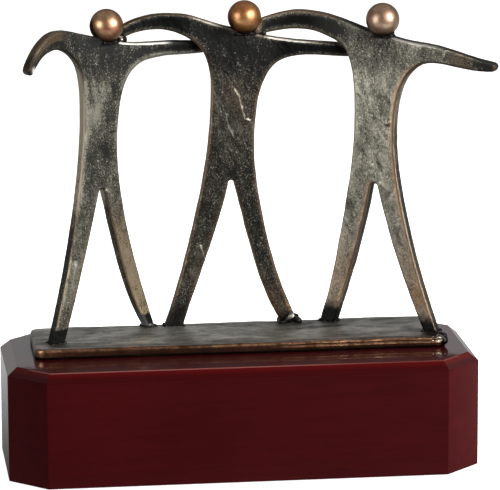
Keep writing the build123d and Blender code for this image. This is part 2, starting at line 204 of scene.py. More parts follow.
# ---------------- material helpers
class Shader:
    """Builds the nodes of one material or of the world. Most methods return an output socket."""

    def __init__(self, name, world=False):
        self.made = (bpy.data.worlds if world else bpy.data.materials).new(name)
        self.made.use_nodes = True
        self.tree = self.made.node_tree
        self.tree.nodes.clear()
        self.output = self.node("OutputWorld" if world else "OutputMaterial")

    def set_input(self, socket, value):
        if isinstance(value, bpy.types.NodeSocket):
            self.tree.links.new(value, socket)
        elif isinstance(value, tuple) and len(value) == 3 and socket.type == "RGBA":
            socket.default_value = (*value, 1)
        else:
            socket.default_value = value

    def node(self, kind, **inputs):
        """A new node with its inputs set. Underscores in their names stand for spaces."""
        node = self.tree.nodes.new("ShaderNode" + kind)
        for name, value in inputs.items():
            self.set_input(node.inputs[name.replace("_", " ")], value)
        return node

    def attribute(self, name, output="Fac"):
        node = self.node("Attribute")
        node.attribute_name = name
        return node.outputs[output]

    def place(self):
        return self.node("TexCoord").outputs["Object"]

    def axes(self, vector):
        """The X, Y and Z of a vector."""
        return self.node("SeparateXYZ", Vector=vector).outputs

    def noise(self, scale, *look, on=None, turn=0, shift=(0, 0, 0)):
        """Noise on the object's own coordinates or others, scaled, turned about Z and shifted.

        The scale is one number or three. look is detail, roughness and distortion."""
        vector = self.place() if on is None else on
        scale = (scale, scale, scale) if isinstance(scale, (int, float)) else scale
        angles = (0, 0, math.radians(turn))
        mapped = self.node("Mapping", Vector=vector, Scale=scale, Rotation=angles, Location=shift)
        settings = dict(zip(("Detail", "Roughness", "Distortion"), look))
        return self.node("TexNoise", Vector=mapped.outputs[0], Scale=1.0, **settings).outputs["Fac"]

    def math(self, operation, a, b=0.0):
        node = self.node("Math")
        node.operation = operation
        self.set_input(node.inputs[0], a)
        self.set_input(node.inputs[1], b)
        return node.outputs[0]

    def product(self, first, *others):
        for value in others:
            first = self.math("MULTIPLY", first, value)
        return first

    def weighted(self, start, *terms):
        """start plus the sum of value times weight over (value, weight) terms."""
        total = start
        for value, weight in terms:
            total = self.math("ADD", total, self.math("MULTIPLY", value, weight))
        return total

    def uneven(self, start, *terms):
        """As weighted, for noises: each varies around its middle value."""
        return self.weighted(start, *((self.math("SUBTRACT", n, 0.5), w) for n, w in terms))

    def span(self, value, low, high, out_low=0.0, out_high=1.0, kind="SMOOTHSTEP"):
        """Takes the values from low to high to those from out_low to out_high."""
        ends = {"From Min": low, "From Max": high, "To Min": out_low, "To Max": out_high}
        node = self.node("MapRange", Value=value, **ends)
        node.interpolation_type = kind
        return node.outputs["Result"]

    def ramp(self, value, *stops):
        node = self.node("ValToRGB", Fac=value)
        elements = node.color_ramp.elements
        while len(elements) < len(stops):
            elements.new(0.5)
        for element, (position, colour) in zip(elements, stops):
            element.position = position
            element.color = (*colour, 1)
        return node.outputs["Color"]

    def mix(self, share, a, b):
        node = self.node("Mix")
        node.data_type = "RGBA"
        self.set_input(node.inputs["Factor"], share)
        self.set_input(node.inputs["A"], a)
        self.set_input(node.inputs["B"], b)
        return node.outputs["Result"]

    def bump(self, height, distance, strength):
        node = self.node("Bump", Height=height, Distance=distance * MM, Strength=strength)
        return node.outputs["Normal"]

    def end(self, shader):
        """Ends with a shader node. Returns the finished material or world."""
        self.set_input(self.output.inputs["Surface"], shader.outputs[0])
        return self.made

    def surface(self, **inputs):
        """Ends with a principled surface."""
        return self.end(self.node("BsdfPrincipled", **inputs))

    def end_by_ray(self, kind, chosen, otherwise):
        """Ends with one shader node for rays of one kind and another for the rest."""
        choose = self.node("MixShader")
        self.set_input(choose.inputs[0], self.node("LightPath").outputs[kind])
        self.set_input(choose.inputs[1], otherwise.outputs[0])
        self.set_input(choose.inputs[2], chosen.outputs[0])
        return self.end(choose)


def assign(piece, material):
    """Makes material the only one of a piece."""
    piece.data.materials.clear()
    piece.data.materials.append(material)


# ---------------- lacquered wood
def lacquered_wood():
    """Dark red rosewood figure under a thick, clear, high-gloss lacquer.

    The bevel is painted lighter at its top edge and darker towards its foot as shading, and
    the top face is painted darker as shade. Near the front the top is duller, and a painted
    highlight runs along its edge."""
    s = Shader("lacquered_rosewood")
    x, y, z = s.axes(s.place())

    def rising(foot, head, at_foot=0.0, at_head=1.0):
        """A step between two depths below the top of the wood, in millimetres."""
        return s.span(z, (WOOD_TOP - foot) * MM, (WOOD_TOP - head) * MM, at_foot, at_head)

    grain = s.noise((10, 210, 210), 5.0, 0.6, 0.8)
    pores = s.noise((90, 1500, 1500), 2.0, 0.5)
    cloud = s.noise((22, 40, 26), 4.0, 0.6)
    colour = s.ramp(
        s.uneven(0.5, (grain, 0.45), (cloud, 0.45)),
        (0.2, (0.030, 0.0026, 0.0034)),
        (0.5, (0.047, 0.0036, 0.0044)),
        (0.85, (0.070, 0.0050, 0.0060)),
    )
    colour = s.mix(s.span(pores, 0.56, 0.7, 0.0, 0.25), colour, (0.012, 0.0015, 0.0015))
    # Painted shading on the bevel: lighter at its top edge, darker towards its foot.
    bevel_shading = s.ramp(
        rising(3.6, 0.3),
        (0.0, (0.029, 0.0022, 0.0028)),
        (0.3, (0.025, 0.0021, 0.0026)),
        (0.9, (0.054, 0.0028, 0.0030)),
    )
    top = rising(0.25, 0.02)
    colour = s.mix(s.product(rising(4.1, 3.5), rising(0.25, 0.02, 1.0, 0.0), 0.85), colour, bevel_shading)
    # Painted shade: the top face is darker than the front.
    colour = s.mix(s.product(top, 0.65), colour, (0.014, 0.0013, 0.0016))
    near_front = s.span(y, -0.0325, -0.0285, 1.0, 0.0)
    # Painted highlight: a pale line along the front edge of the top, weaker towards the right.
    edge = s.product(rising(0.55, 0.3), rising(0.12, 0.02, 1.0, 0.0), near_front)
    edge_glint_fade = s.span(x, 0.0, 0.07, 0.7, 0.3)
    colour = s.mix(s.product(edge, edge_glint_fade), colour, (0.20, 0.075, 0.062))
    dust = s.noise(900, 2.0, 0.6)
    film = s.noise(160, 1.0, 0.5)
    return s.surface(
        Base_Color=colour,
        Roughness=0.42,
        Specular_IOR_Level=0.05,
        Coat_Weight=s.span(s.product(near_front, top), 0.0, 1.0, 1.0, 0.16),
        Coat_Roughness=s.span(dust, 0.35, 0.75, 0.015, 0.05),
        Coat_IOR=1.5,
        Coat_Normal=s.bump(film, 0.02, 0.25),
    )


def finish_wood_base():
    """The base keeps its CAD shape; its corners get the small soft round of thick lacquer."""
    base = nodes["wood_base"]
    weld = base.modifiers.new("weld", "WELD")
    weld.merge_threshold = 1e-6
    whole_faces = base.modifiers.new("whole_faces", "DECIMATE")
    whole_faces.decimate_type = "DISSOLVE"
    whole_faces.angle_limit = math.radians(1)
    rounding = base.modifiers.new("lacquer_edges", "BEVEL")
    rounding.width = 0.6 * MM
    rounding.segments = 3
    rounding.limit_method = "ANGLE"
    rounding.angle_limit = math.radians(20)
    rounding.harden_normals = True
    assign(base, lacquered_wood())


# ---------------- metal sheet
def sheet_axes(figure):
    """The directions along a figure's sheet, to the right, and out of its front."""
    turn = math.radians(figure["turn"])
    along = np.array([math.cos(turn), math.sin(turn), 0])
    front = np.array([math.sin(turn), -math.cos(turn), 0])
    return along, front


def sheet_coordinates(points, figure):
    """Position of points on a figure's sheet, and the sheet's front direction there.

    The first is (distance along the sheet, height above the wood, depth to the front)."""
    along, front = sheet_axes(figure)
    offset = points - np.array([*figure["place"], WOOD_TOP])
    flat = offset @ along
    deep = offset @ front
    run = flat.copy()
    depth = deep.copy()
    heading = np.zeros(len(points))
    for side, (start, radius, bend) in zip((-1, 1), figure["arms"]):
        towards_front = 1 if bend > 0 else -1
        limit = math.radians(abs(bend))
        beyond = (side * flat > start) & (offset[:, 2] > ARM_LEVEL)
        x = side * flat - start
        y = radius - towards_front * deep
        angle = np.clip(np.arctan2(x, y), 0, limit)
        from_bend_x = x - radius * np.sin(angle)
        from_bend_y = radius * np.cos(angle) - y
        past = from_bend_x * np.cos(angle) + from_bend_y * np.sin(angle)
        straight = np.where(angle >= limit - 1e-6, np.maximum(past, 0), 0)
        arc_depth = radius - np.hypot(x, y)
        line_depth = from_bend_y * np.cos(angle) - from_bend_x * np.sin(angle)
        bent_depth = towards_front * np.where(straight > 0, line_depth, arc_depth)
        run = np.where(beyond, side * (start + radius * angle + straight), run)
        depth = np.where(beyond, bent_depth, depth)
        heading = np.where(beyond, side * towards_front * angle, heading)
    local_front = np.cos(heading)[:, None] * front - np.sin(heading)[:, None] * along
    return np.stack([run, offset[:, 2], depth], 1), local_front


def rim_distance(points, on_side):
    """For every point, the distance to the nearest point of the cut edge, and its index."""
    edge = np.flatnonzero(on_side)
    tree = KDTree(len(edge))
    for index in edge:
        tree.insert(Vector(points[index]), int(index))
    tree.balance()
    found = [tree.find(Vector(p)) for p in points]
    return np.array([f[2] for f in found]), np.array([f[1] for f in found])


def leaning(u, z, lean):
    """Distances across and along a direction that leans from upright, in degrees."""
    a = math.radians(lean)
    return u * math.cos(a) - z * math.sin(a), u * math.sin(a) + z * math.cos(a)


def spot(at, u, z, wide, tall, lean=0.0):
    """A soft oval patch on the sheet, 1 at its middle. Lean is in degrees, top to the right."""
    across, upward = leaning(at.u - u, at.z - z, lean)
    return np.exp(-((across / wide) ** 2) - (upward / tall) ** 2)


def spots(at, *places):
    """The sum of several such patches, each (weight, u, z, wide, tall, lean)."""
    return sum(weight * spot(at, *place) for weight, *place in places)


def line_fields(sheet, corners):
    """Signed distance to a drawn line on the sheet (left side positive) and share along it."""
    best = np.full(len(sheet), 1e9)
    signed = np.zeros(len(sheet))
    share = np.zeros(len(sheet))
    pieces = len(corners) - 1
    for index, (a, b) in enumerate(zip(corners[:-1], corners[1:])):
        a, b = np.array(a, float), np.array(b, float)
        step = b - a
        offset = sheet[:, :2] - a
        t = np.clip(offset @ step / (step @ step), 0, 1)
        gap = offset - t[:, None] * step
        distance = np.hypot(gap[:, 0], gap[:, 1])
        side = np.sign(step[0] * offset[:, 1] - step[1] * offset[:, 0])
        nearer = distance < best
        best = np.where(nearer, distance, best)
        signed = np.where(nearer, distance * side, signed)
        share = np.where(nearer, (index + t) / pieces, share)
    return signed, share


def ledge(sheet, corners, height, fade):
    """A torn layer of metal: a sharp step along a line that fades away on its left side."""
    signed, share = line_fields(sheet, corners)
    taper = smooth(0, 0.18, share) * smooth(1, 0.82, share)
    rise = smooth(-0.25, 0.25, signed) * np.exp(-np.maximum(signed, 0) / fade)
    return height * rise * taper


def seam(sheet, corners, height, width):
    """A raised or sunken line."""
    signed, share = line_fields(sheet, corners)
    taper = smooth(0, 0.2, share) * smooth(1, 0.8, share)
    return height * np.exp(-((signed / width) ** 2)) * taper


def hammered(sheet, seed):
    """Height of the hand-worked surface of the figures in millimetres, the same law for all three."""
    drawn = np.stack([*leaning(sheet[:, 0], sheet[:, 1], -24), sheet[:, 2]], 1)
    broad = layered_noise(drawn, (7, 15, 9), seed, 2)
    flakes = layered_noise(drawn, (1.9, 5.2, 3.0), seed + 10, 3)
    crease = ridges(drawn, (6, 16, 9), seed + 20)
    pits = np.minimum(layered_noise(sheet, 1.6, seed + 30, 2) + 0.35, 0)
    return 0.17 * broad + 0.11 * flakes + 0.10 * crease + 0.22 * pits, flakes


def shape_sheet(node, seed, depth, marks, tone, warmth, soot, glint):
    """Builds a figure's worked surface and stores what its patina needs.

    depth scales the hammer marks. marks gives the height of the figure's own creases, tone
    how light the patina is, painted light and shade included, warmth how much copper shows,
    soot where the metal is burnt black and where shade is painted black, and glint where
    highlights are painted. Each is a function of at, which holds the sheet position (u, z),
    the direction of the nearest cut edge (across, up, and how much that is left, right or
    top), the distance to it (reach) and whether the point is on the cut edge (side), on its
    rounded corner (corner), where the front face starts to turn into that corner (lip) or on
    an arm."""
    figure = FIGURES[node]
    piece = remeshed(node, node + "_sheet", FINE_FACES)
    mesh = piece.data
    points, normals = points_of(mesh), normals_of(mesh)
    sheet, front = sheet_coordinates(points, figure)
    facing = np.sum(normals * front, axis=1)
    side = smooth(0.8, 0.4, np.abs(facing))
    reach, nearest = rim_distance(points, np.abs(facing) < 0.45)
    along = np.cross(np.array([0, 0, 1.0]), front)
    at = SimpleNamespace(sheet=sheet, u=sheet[:, 0], z=sheet[:, 1], reach=reach, side=side)
    at.across = np.sum(normals[nearest] * along[nearest], axis=1)
    at.left, at.right = smooth(0.2, 0.8, -at.across), smooth(0.2, 0.8, at.across)
    at.arm = smooth(112, 120, at.z)
    at.up = normals[nearest][:, 2]
    at.top = smooth(0.5, 0.9, at.up)
    at.corner = 4 * side * (1 - side)
    at.lip = smooth(0.995, 0.97, facing) * smooth(0.55, 0.75, facing)
    at.ragged = layered_noise(sheet, 2.4, seed + 60, 3)
    back = facing < 0
    seen = sheet.copy()
    seen[:, 2] = np.where(back, -40, 40) * (1 - side) + sheet[:, 2] * side
    height, flakes = hammered(seen, seed)
    height = depth * height * (0.35 + 0.65 * smooth(0.2, 2.2, reach))
    own = np.where(back, 0, marks(at)) * (1 - side)
    wobble = 0.16 * layered_noise(sheet, (9, 9, 40), seed + 40, 3)
    nicks = -0.5 * np.clip(layered_noise(sheet, (2.6, 2.6, 6), seed + 50, 1) - 0.62, 0, 1)
    foot = smooth(PLATE_TOP - WOOD_TOP - 1, PLATE_TOP - WOOD_TOP + 3, at.z)
    moved = (height + own) * (1 - side) + (wobble + nicks) * side
    set_points(mesh, points + normals * (moved * (0.3 + 0.7 * foot))[:, None])
    store(mesh, sheet=seen, flakes=flakes, crest=smooth(0.12, 0.6, own), tone=tone(at))
    for name, law in (("warmth", warmth), ("soot", soot), ("glint", glint)):
        store(mesh, **{name: np.clip(law(at), 0, 1)})
    return piece


def patina(name, black, grey, light, copper, level, contrast, stretch):
    """Antiqued metal: black left in the hollows, rubbed grey on the heights, copper at edges.
    Light and shade are painted into its colour as well.
    """
    s = Shader(name)
    sheet = s.attribute("sheet", "Vector")
    lean = -28
    speckle = s.noise((1.25, 1.25 / stretch, 1.25), 5.0, 0.72, turn=lean, on=sheet)
    grains = s.noise((2.3, 1.84, 2.3), 3.0, 0.6, turn=20, shift=(20.7, 9.2, 4.6), on=sheet)
    blotch = s.noise((0.20, 0.09, 0.2), 3.0, 0.6, 0.4, turn=lean, shift=(3, 1, 5), on=sheet)
    scratch = s.noise((3.2, 0.22, 1), 2.0, 0.6, turn=-14, on=sheet)
    # The tone attribute brings the patina's own light and dark, with painted light and shade.
    shaped = ((s.attribute("tone"), 0.50), (s.attribute("flakes"), 0.16 * contrast))
    grainy = ((speckle, 1.5), (grains, 0.9), (blotch, 1.1), (scratch, 0.35))
    value = s.uneven(s.weighted(level, *shaped), *((n, w * contrast) for n, w in grainy))
    value = s.weighted(value, (s.attribute("crest"), 0.30))
    colour = s.ramp(value, (0.12, black), (0.5, grey), (0.85, light))
    # Painted glints: some grains turn twice as light as the light colour.
    sparkle = s.product(s.span(grains, 0.58, 0.70), s.span(value, 0.1, 0.4, 0.0, 0.8))
    colour = s.mix(sparkle, colour, tuple(min(1, c * 2.0) for c in light))
    rubbed = s.span(speckle, 0.3, 0.62, 0.30, 1.0)
    worn = s.product(s.attribute("warmth"), rubbed)
    tarnished, bright = tuple(c * 0.35 for c in copper), tuple(c * 1.7 for c in copper)
    bare = s.mix(s.span(value, 0.05, 1.15), tarnished, bright)
    colour = s.mix(worn, colour, bare)
    # Black where the metal is burnt, and painted shade, mixed in as near black.
    soot = s.attribute("soot")
    colour = s.mix(soot, colour, (0.0045, 0.0045, 0.0042))
    # Painted highlights: near white where the glint attribute is set.
    glint = s.product(s.attribute("glint"), s.span(speckle, 0.25, 0.5, 0.35, 1.0))
    colour = s.mix(glint, colour, (0.80, 0.76, 0.68))
    height = s.weighted(0.0, (speckle, 0.6), (scratch, 0.25), (grains, 0.4))
    bare_share = s.math("SUBTRACT", 1.0, soot)
    return s.surface(
        Base_Color=colour,
        Metallic=s.product(s.span(value, 0.1, 0.6, 0.5, 0.92), bare_share),
        Specular_IOR_Level=s.span(soot, 0.0, 1.0, 0.5, 0.11),
        Roughness=s.weighted(s.span(value, 0.2, 0.9, 0.52, 0.34), (soot, -0.18), (glint, -0.06)),
        Normal=s.bump(height, 0.22, 0.75),
    )


def left_figure():
    """Leftmost figure: speckled grey with a light left edge and golden tan legs."""

    def marks(at):
        notch = ledge(at.sheet, [(-13.6, 39.4), (-16.2, 40.0), (-16.0, 46.5)], -0.45, 5.0)
        fold = ledge(at.sheet, [(8.0, 63.0), (4.0, 66.2), (0.9, 68.6)], 0.3, 3.0)
        return notch + fold + 0.4 * spot(at, 5.6, 93.2, 1.2, 0.8)

    # The patina's own light and dark, with painted light and shade in it: bright lines along lit edges
    # and corners, and painted shade under the head; the arms are darker.
    def tone(at):
        edge = smooth(3.4, 0.3, at.reach)
        legs = smooth(74, 42, at.z)
        body = smooth(56, 66, at.z) * smooth(120, 112, at.z)
        under = smooth(-0.1, -0.7, at.up) * smooth(4, 12, at.u) * smooth(106, 112, at.z)
        light = spots(at, (0.95, -2.5, 102, 3.6, 13, 24), (0.75, -15.5, 30, 5, 16, 25))
        light += 1.0 * spot(at, 13, 32, 5, 22, -20) + 0.7 * edge * at.left * body
        light += 0.45 * edge * at.right * body + 1.7 * smooth(3.8, 0.6, at.reach) * under
        light += 1.6 * at.side * at.top * smooth(4, 8, at.u) * smooth(28, 20, at.u)
        light += 0.9 * at.corner * legs * at.left
        rim = 0.35 * smooth(40, 66, at.z) + 1.0 * smooth(84, 106, at.z)
        light += rim * at.side * at.left * smooth(128, 118, at.z)
        light += 0.25 * smooth(-18, -26, at.u) * at.arm * smooth(3.0, 0.6, at.reach)
        dark = spots(at, (0.85, 1.5, 85, 6, 6), (0.7, 6.5, 110, 4.5, 13), (0.8, 2, 132, 12, 4))
        dark += 0.5 * spot(at, -5.6, 74, 4, 8)
        dark += 1.4 * smooth(34, 41, at.u) + 0.65 * smooth(112, 122, at.z)
        dark += 1.2 * at.side * at.left * legs
        dark += 0.4 * smooth(-14, -24, at.u) * at.arm
        dark += 0.6 * smooth(10, 20, at.u) * at.arm * smooth(1.5, 4, at.reach)
        return light - dark + 0.12

    def warmth(at):
        upper = smooth(-0.6, 0.4, at.up)
        arm = smooth(-15, -26, at.u) * at.arm * (0.05 + 0.75 * upper)
        legs = smooth(66, 45, at.z)
        edge = smooth(1.6, 0.5, at.reach) * at.left * (0.35 + 0.35 * legs)
        inner = at.right * smooth(0, -6, at.u) * legs * smooth(3.2, 0.8, at.reach)
        shin = legs * smooth(1, 7, at.u) * 0.65
        return (edge + arm + 0.75 * inner + shin) * (1 - 0.8 * at.side * legs)

    # Black at the foot and at the hand's tip. The black under the head and on the far end of the right
    # arm, behind the middle figure, is painted shade.
    def soot(at):
        foot = smooth(11.2, 10.2, at.z + 0.7 * at.ragged)
        tip = 0.8 * smooth(-41, -45, at.u + 0.4 * at.ragged)
        far_arm = 0.85 * smooth(24, 34, at.u) * smooth(0.8, 2.6, at.reach + 0.5 * at.ragged)
        return foot + tip + far_arm + 0.9 * spot(at, 0.5, 133.5, 8, 3.2) * (1 - at.side)

    # Painted highlights: a line along the top front edge of the right arm, a pale band on that arm's
    # lower edge and a spot on the left hand's tip.
    def glint(at):
        line = (at.lip + 0.6 * at.corner) * at.top * smooth(8, 11, at.u) * smooth(38, 32, at.u)
        underside_glint = smooth(1.8, 0.3, at.reach) * smooth(-0.3, -0.8, at.up) * smooth(12, 18, at.u)
        return line + 0.45 * underside_glint + 0.8 * spot(at, -44.9, 124.6, 1.2, 1.3)

    piece = shape_sheet("left_figure", 11, 0.6, marks, tone, warmth, soot, glint)
    black, grey, light = (0.009, 0.009, 0.0075), (0.085, 0.082, 0.064), (0.36, 0.345, 0.28)
    assign(piece, patina("left_patina", black, grey, light, (0.34, 0.235, 0.135), 0.42, 1.15, 1.1))


def middle_figure():
    """Middle figure: nearly black, with brown edges and a torn crease down its chest."""

    def marks(at):
        chest = [(9.5, 93.4), (6.0, 95.2), (4.8, 100.5), (3.6, 104.8), (0.8, 109.5)]
        step = [(-11.2, 31.5), (-12.0, 36.0), (-13.3, 39.8), (-15.8, 40.2)]
        flaw = ledge(at.sheet, [(2.0, 85), (-1.0, 92), (-2.6, 99)], 0.25, 3.0)
        chips = spots(at, (0.45, 13.4, 45.3, 0.6, 0.9), (0.4, 2.9, 118, 0.5, 1.1, -25))
        chips += 0.4 * spot(at, 6.9, 108.5, 0.5, 1.2, -25)
        return ledge(at.sheet, chest, 0.65, 3.5) + ledge(at.sheet, step, 0.7, 4.0) + flaw + chips

    # The patina's own light and dark, with painted shade under the head in it; the arms darken out
    # towards the hands and their edges are light.
    def tone(at):
        arms = smooth(112, 118, at.z)
        fringe = smooth(3.0, 0.4, at.reach) * arms * smooth(0.2, 0.7, np.abs(at.up))
        light = spots(at, (0.55, -5.5, 102, 2.4, 14, -8), (0.6, 1.5, 103, 2.6, 7, -20))
        light += spots(at, (0.75, -15.0, 30, 4, 10, 25), (0.4, 3, 88, 4, 12), (0.30, 0, 92, 14, 18))
        light += 0.5 * smooth(1.8, 0.4, at.reach) * (1 - arms) + 1.7 * fringe
        light += 0.6 * fringe * smooth(-0.3, -0.8, at.up)
        dark = spots(at, (0.6, 2, 132, 15, 8), (0.35, 0, 74, 9, 7), (0.5, 13, 48, 4, 10))
        dark += 1.0 * smooth(-12, -22, at.u) * arms + 0.9 * smooth(12, 22, at.u) * arms
        dark += 0.45 * smooth(108, 120, at.z)
        return light - dark

    def warmth(at):
        low = smooth(64, 40, at.z)
        left = smooth(1.9, 0.3, at.reach) * smooth(0.0, 0.8, -at.across)
        right = smooth(2.6, 0.3, at.reach) * smooth(0.1, 0.8, at.across)
        shin = 0.45 * low * smooth(5, 12, at.u) * smooth(28, 14, at.z)
        arch = smooth(1.2, 0.3, at.reach) * smooth(0.2, 0.8, np.abs(at.up)) * smooth(112, 118, at.z)
        crown = 0.45 * spot(at, 2.0, 103, 3, 9, -20)
        return 0.75 * left + 0.7 * right + shin + 0.65 * arch + crown

    # Black at the feet and out along the arms; the black under the head is painted shade.
    def soot(at):
        left_foot = smooth(20, 9, at.z + 1.5 * at.ragged) * smooth(0, -4, at.u)
        right_foot = smooth(12, 7, at.z + 1.2 * at.ragged) * smooth(0, 4, at.u)
        arms = smooth(14, 24, np.abs(at.u)) * smooth(112, 118, at.z)
        arms *= 0.92 * smooth(0.8, 2.2, at.reach + 0.5 * at.ragged)
        return 0.9 * left_foot + 0.9 * right_foot + arms + 0.9 * spot(at, 3.5, 134, 16, 4.5)

    # Painted highlights along the top front edges: beside the head on the right arm and on the arch of
    # the left arm.
    def glint(at):
        upper = (0.6 * at.corner + 0.8 * at.lip) * at.top
        beside_head = smooth(14, 17, at.u) * smooth(40, 28, at.u)
        shoulder = 0.4 * smooth(-18, -13, at.u) * smooth(-3, -7, at.u)
        return upper * (beside_head + shoulder)

    piece = shape_sheet("middle_figure", 23, 0.75, marks, tone, warmth, soot, glint)
    black, grey, light = (0.0055, 0.0053, 0.0047), (0.060, 0.055, 0.043), (0.32, 0.295, 0.235)
    assign(piece, patina("middle_patina", black, grey, light, (0.20, 0.110, 0.058), 0.285, 1.15, 1.5))


def right_figure():
    """Rightmost figure: the lightest, greenish pewter with orange-brown right edges."""

    def marks(at):
        fold = ledge(at.sheet, [(8.2, 64.0), (5.0, 66.0), (2.6, 68.6)], 0.28, 3.0)
        cuff = seam(at.sheet, [(30.0, 130.5), (32.2, 127.0), (31.2, 122.0)], 0.35, 0.7)
        return fold + cuff + 0.45 * spot(at, 6.0, 93.6, 0.9, 0.6)

    # The patina's own light and dark, with painted light and shade in it: a bright line on the right
    # corners and painted shade under the head; the arching left arm and the top edges are dark.
    def tone(at):
        arch = smooth(-11, -20, at.u) * at.arm
        fringe = smooth(3.6, 0.4, at.reach) * smooth(0.2, 0.7, np.abs(at.up))
        light = 0.42 + 0.25 * smooth(3.4, 0.4, at.reach) + 0.2 * spot(at, 4, 88, 4, 9)
        light += 1.2 * fringe * arch + 0.5 * at.corner * smooth(0.2, 0.7, at.across)
        dark = spots(at, (0.6, -12, 57, 3, 8, -20), (0.4, 3.0, 103, 2, 9, -20))
        dark += spots(at, (0.35, -6, 70, 3, 9, -24), (0.3, -4, 88, 3, 7, -24), (0.5, 1, 131, 11, 6))
        for u, z in ((-1, 97), (4, 90), (-5, 80), (2, 76), (-7, 62), (6, 104), (-13, 48), (11, 45)):
            dark += 0.55 * spot(at, u, z, 0.9, 4.0, -30)
        dark += 1.4 * arch + 1.1 * smooth(36, 50, at.u)
        dark += 0.5 * smooth(108, 122, at.z) + 0.05 * smooth(44, 26, at.z)
        armpit = smooth(88, 100, at.z) * smooth(122, 114, at.z)
        dark += (1.4 - 0.6 * armpit) * at.side * smooth(0.2, 0.7, at.across)
        dark += 0.9 * at.side * smooth(0.3, 0.8, at.up)
        light += 0.55 * armpit * smooth(3.6, 0.8, at.reach) * at.right
        return light - dark

    def warmth(at):
        arms = smooth(112, 118, at.z)
        right = smooth(3.6, 0.9, at.reach) * at.right * (1 - at.side)
        right *= 0.35 + 0.5 * smooth(40, 60, at.z)
        left = 0.35 * smooth(1.5, 0.4, at.reach) * at.left
        legs = 0.38 * smooth(56, 25, at.z)
        arch = 0.75 * smooth(-13, -24, at.u) * smooth(1.6, 0.4, at.reach)
        hand = 0.35 * smooth(31, 37, at.u) * smooth(46, 40, at.u)
        hand += 0.5 * smooth(1.4, 0.4, at.reach) * smooth(-0.2, -0.8, at.up)
        rust = 0.7 * spot(at, 19.5, 19, 2.2, 5, -20)
        return right + left + legs + (arch + hand) * arms + rust

    # Black at the feet, along the far part of the left arm and on the top edges; the black under the head
    # is painted shade.
    def soot(at):
        left_foot = smooth(16.5, 9.5, at.z + 1.2 * at.ragged) * smooth(0, -4, at.u)
        right_foot = smooth(14.5, 7.5, at.z + 1.2 * at.ragged) * smooth(0, 4, at.u)
        right_foot *= 1 - 0.9 * at.corner * smooth(0.2, 0.7, at.across)
        back = smooth(-17, -34, at.u) * at.arm
        back *= 0.88 * smooth(1.2, 3.0, at.reach + 0.6 * at.ragged)
        top = 0.8 * at.side * smooth(0.4, 0.8, at.up) * smooth(10, 14, at.u)
        return left_foot + right_foot + back + top + 0.85 * spot(at, 1, 134, 12, 4.2)

    # Painted highlight along the top front edge of the right shoulder and arm.
    def glint(at):
        upper = (0.5 * at.corner + at.lip) * at.top
        return 0.55 * upper * smooth(7, 11, at.u) * smooth(33, 22, at.u)

    piece = shape_sheet("right_figure", 37, 0.5, marks, tone, warmth, soot, glint)
    black, grey, light = (0.014, 0.0135, 0.0115), (0.150, 0.142, 0.112), (0.38, 0.36, 0.29)
    assign(piece, patina("right_patina", black, grey, light, (0.31, 0.175, 0.090), 0.46, 0.72, 1.9))


# ---------------- base plate
def plate_metal():
    """Forged strip: slate-black top, rubbed to bare copper brown along its edges.
    A highlight on its front left corner, a contact shadow and patches of shade are painted in.
    """
    s = Shader("plate_patina")
    sheet = s.attribute("sheet", "Vector")
    speckle = s.noise((0.65, 1.17, 1.04), 5.0, 0.7, on=sheet)
    blotch = s.noise((0.045, 0.12, 0.1), 4.0, 0.6, 0.5, on=sheet)
    relief = s.weighted(0.45, (s.attribute("relief"), 0.60))
    value = s.uneven(relief, (speckle, 0.7), (blotch, 1.2))
    colour = s.ramp(
        value,
        (0.12, (0.045, 0.045, 0.042)),
        (0.5, (0.27, 0.265, 0.235)),
        (0.9, (0.55, 0.53, 0.46)),
    )
    brown = s.ramp(
        value,
        (0.1, (0.014, 0.0065, 0.0040)),
        (0.6, (0.078, 0.030, 0.015)),
        (0.9, (0.19, 0.085, 0.042)),
    )
    colour = s.mix(s.attribute("brown"), colour, brown)
    copper = s.ramp(
        speckle,
        (0.3, (0.10, 0.045, 0.022)),
        (0.55, (0.34, 0.18, 0.09)),
        (0.75, (0.70, 0.52, 0.34)),
    )
    # The copper holds the worn copper edges and the painted corner highlight.
    colour = s.mix(s.attribute("copper"), colour, copper)
    # Painted shadow and shade, mixed in as near black.
    colour = s.mix(s.attribute("soot"), colour, (0.006, 0.005, 0.004))
    roughness = s.span(value, 0.2, 0.9, 0.50, 0.36)
    return s.surface(
        Base_Color=colour,
        Metallic=0.85,
        Roughness=s.weighted(roughness, (s.attribute("copper"), -0.12)),
        Normal=s.bump(speckle, 0.18, 0.5),
    )


